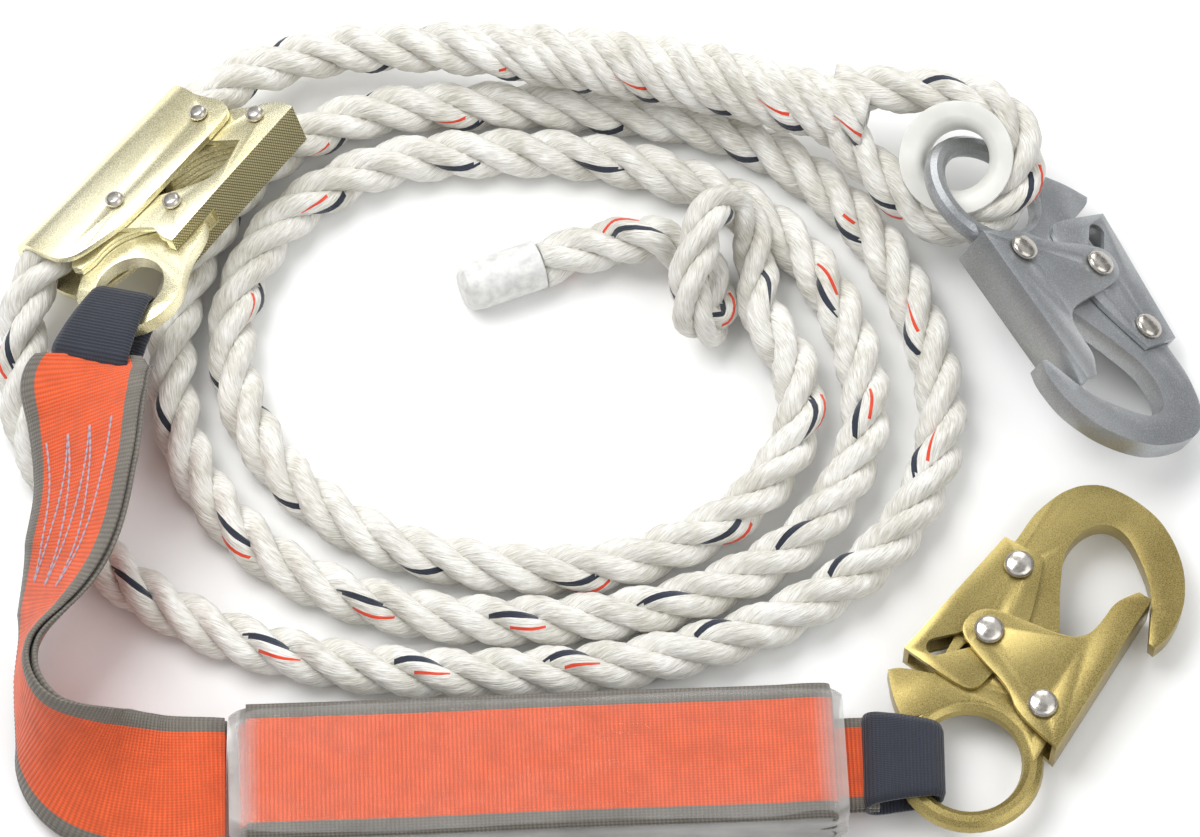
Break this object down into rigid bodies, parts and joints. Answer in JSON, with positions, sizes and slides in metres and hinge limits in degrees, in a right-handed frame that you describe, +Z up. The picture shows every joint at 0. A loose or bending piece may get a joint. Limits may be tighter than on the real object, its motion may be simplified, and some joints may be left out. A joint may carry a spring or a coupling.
{
  "type": "rope grab",
  "caption": "Laminated-cam rope grab on a coiled three-strand lifeline, with a webbing shock-absorbing lanyard and two locking snap hooks",
  "frame": {"origin": "middle of the hardware and lanyard's outline, on the ground that the kit lies on", "axes": "+X to the right along the shock pack, +Y away from the shock pack towards the grab, +Z up"},
  "size_m": [0.3836, 0.2928, 0.0492],
  "materials": {
    "rope": "off-white three-strand synthetic rope with one dark and one red marker yarn",
    "tape": "white shrink tape",
    "nylon": "white moulded nylon",
    "yellow_zinc": "yellow-passivated zinc plate",
    "bronze_zinc": "dark yellow-passivated zinc plate",
    "grey_zinc": "grey zinc plate, fine grained",
    "rivet_steel": "bright rivet heads",
    "navy_webbing": "navy polyester webbing",
    "orange_webbing": "orange polyester webbing with grey edges",
    "film": "clear shrink film"
  },
  "bodies": {
    "lifeline": {"lifeline_rope": "rope", "rope_tail": "rope", "stopper_knot": "rope", "rope_end_tape": "tape", "eye_splice": "rope", "eye_loop": "rope", "thimble": "nylon"},
    "grab_shell": {"rope_shell": "yellow_zinc", "upper_shell_pin": "rivet_steel", "lower_shell_pin": "rivet_steel", "cam_spacer_1": "rivet_steel", "cam_spacer_2": "rivet_steel", "cam_spacer_3": "rivet_steel", "cam_spring": "rivet_steel"},
    "upper_cam": {"upper_cam_plate_1": "yellow_zinc", "upper_cam_plate_2": "yellow_zinc", "upper_cam_plate_3": "yellow_zinc", "upper_cam_plate_4": "yellow_zinc", "upper_cam_plate_5": "yellow_zinc", "upper_lever_pin": "rivet_steel"},
    "lower_cam": {"lower_cam_plate_1": "yellow_zinc", "lower_cam_plate_2": "yellow_zinc", "lower_cam_plate_3": "yellow_zinc", "lower_cam_plate_4": "yellow_zinc", "eye_plate": "yellow_zinc"},
    "grip_lever": {"grip_lever": "yellow_zinc", "lower_lever_pin": "rivet_steel"},
    "lanyard": {"upper_wear_loop": "navy_webbing", "lanyard_strap": "orange_webbing", "strap_back_ply": "orange_webbing", "shock_pack_webbing": "orange_webbing", "shock_pack_cover": "film", "end_strap": "orange_webbing", "end_wear_loop": "navy_webbing"},
    "harness_hook": {"harness_hook_body": "bronze_zinc", "harness_hook_gate_rivet": "rivet_steel", "harness_hook_lock_rivet": "rivet_steel", "harness_hook_gate_spring": "rivet_steel"},
    "harness_gate": {"harness_hook_gate": "bronze_zinc", "harness_hook_link_rivet": "rivet_steel"},
    "harness_lock": {"harness_hook_lock": "bronze_zinc"},
    "anchor_hook": {"anchor_hook_body": "grey_zinc", "anchor_hook_gate_rivet": "rivet_steel", "anchor_hook_lock_rivet": "rivet_steel", "anchor_hook_gate_spring": "rivet_steel"},
    "anchor_gate": {"anchor_hook_gate": "grey_zinc", "anchor_hook_link_rivet": "rivet_steel"},
    "anchor_lock": {"anchor_hook_lock": "grey_zinc"}
  },
  "joints": [
    {"name": "grab_slide", "type": "slide", "parent": "lifeline", "child": "grab_shell", "axis": [0.6225, 0.7826, 0], "range_m": [-0.003, 0.003]},
    {"name": "cam_hinge", "type": "hinge", "parent": "grab_shell", "child": "lower_cam", "pos_m": [-0.15436, 0.08172, 0.02271], "axis": [-0.2418, 0.1924, 0.9511], "range_deg": [-4, 12]},
    {"name": "upper_cam_hinge", "type": "hinge", "parent": "grab_shell", "child": "upper_cam", "pos_m": [-0.12884, 0.11381, 0.02271], "axis": [-0.2418, 0.1924, 0.9511], "range_deg": [-4, 12]},
    {"name": "lever_hinge", "type": "hinge", "parent": "lower_cam", "child": "grip_lever", "pos_m": [-0.13655, 0.08059, 0.02747], "axis": [-0.2418, 0.1924, 0.9511], "range_deg": [-12, 4]},
    {"name": "lanyard_hinge", "type": "hinge", "parent": "lower_cam", "child": "lanyard", "pos_m": [-0.15076, 0.05356, 0.02932], "axis": [-0.2418, 0.1924, 0.9511], "range_deg": [-12, 4]},
    {"name": "harness_hook_swing", "type": "hinge", "parent": "lanyard", "child": "harness_hook", "pos_m": [0.11107, -0.10133, 0.0107], "axis": [0, 0, 1], "range_deg": [-25, 10]},
    {"name": "harness_gate_hinge", "type": "hinge", "parent": "harness_hook", "child": "harness_gate", "pos_m": [0.13368, -0.08497, 0.0107], "axis": [0, 0, 1], "range_deg": [0, 22], "stiffness_Nm_per_rad": 0.06, "springref_deg": -20.05},
    {"name": "harness_lock_hinge", "type": "hinge", "parent": "harness_hook", "child": "harness_lock", "pos_m": [0.12844, -0.03677, 0.0107], "axis": [0, 0, 1], "range_deg": [0, 10.6]},
    {"name": "anchor_hook_swing", "type": "hinge", "parent": "lifeline", "child": "anchor_hook", "pos_m": [0.11357, 0.10247, 0.0272], "axis": [-0.183, -0.4021, 0.8971], "range_deg": [0, 20]},
    {"name": "anchor_gate_hinge", "type": "hinge", "parent": "anchor_hook", "child": "anchor_gate", "pos_m": [0.12876, 0.06388, 0.02839], "axis": [0.4659, 0.2085, 0.8599], "range_deg": [0, 22], "stiffness_Nm_per_rad": 0.06, "springref_deg": -20.05},
    {"name": "anchor_lock_hinge", "type": "hinge", "parent": "anchor_hook", "child": "anchor_lock", "pos_m": [0.17026, 0.04679, 0.01005], "axis": [0.4659, 0.2085, 0.8599], "range_deg": [0, 10.6]}
  ],
  "couplings": [
    {"joint": "upper_cam_hinge", "follows": "cam_hinge", "ratio": 1},
    {"joint": "lever_hinge", "follows": "cam_hinge", "ratio": -1},
    {"joint": "lanyard_hinge", "follows": "cam_hinge", "ratio": -1},
    {"joint": "harness_lock_hinge", "follows": "harness_gate_hinge", "ratio": 0.48},
    {"joint": "anchor_lock_hinge", "follows": "anchor_gate_hinge", "ratio": 0.48}
  ]
}
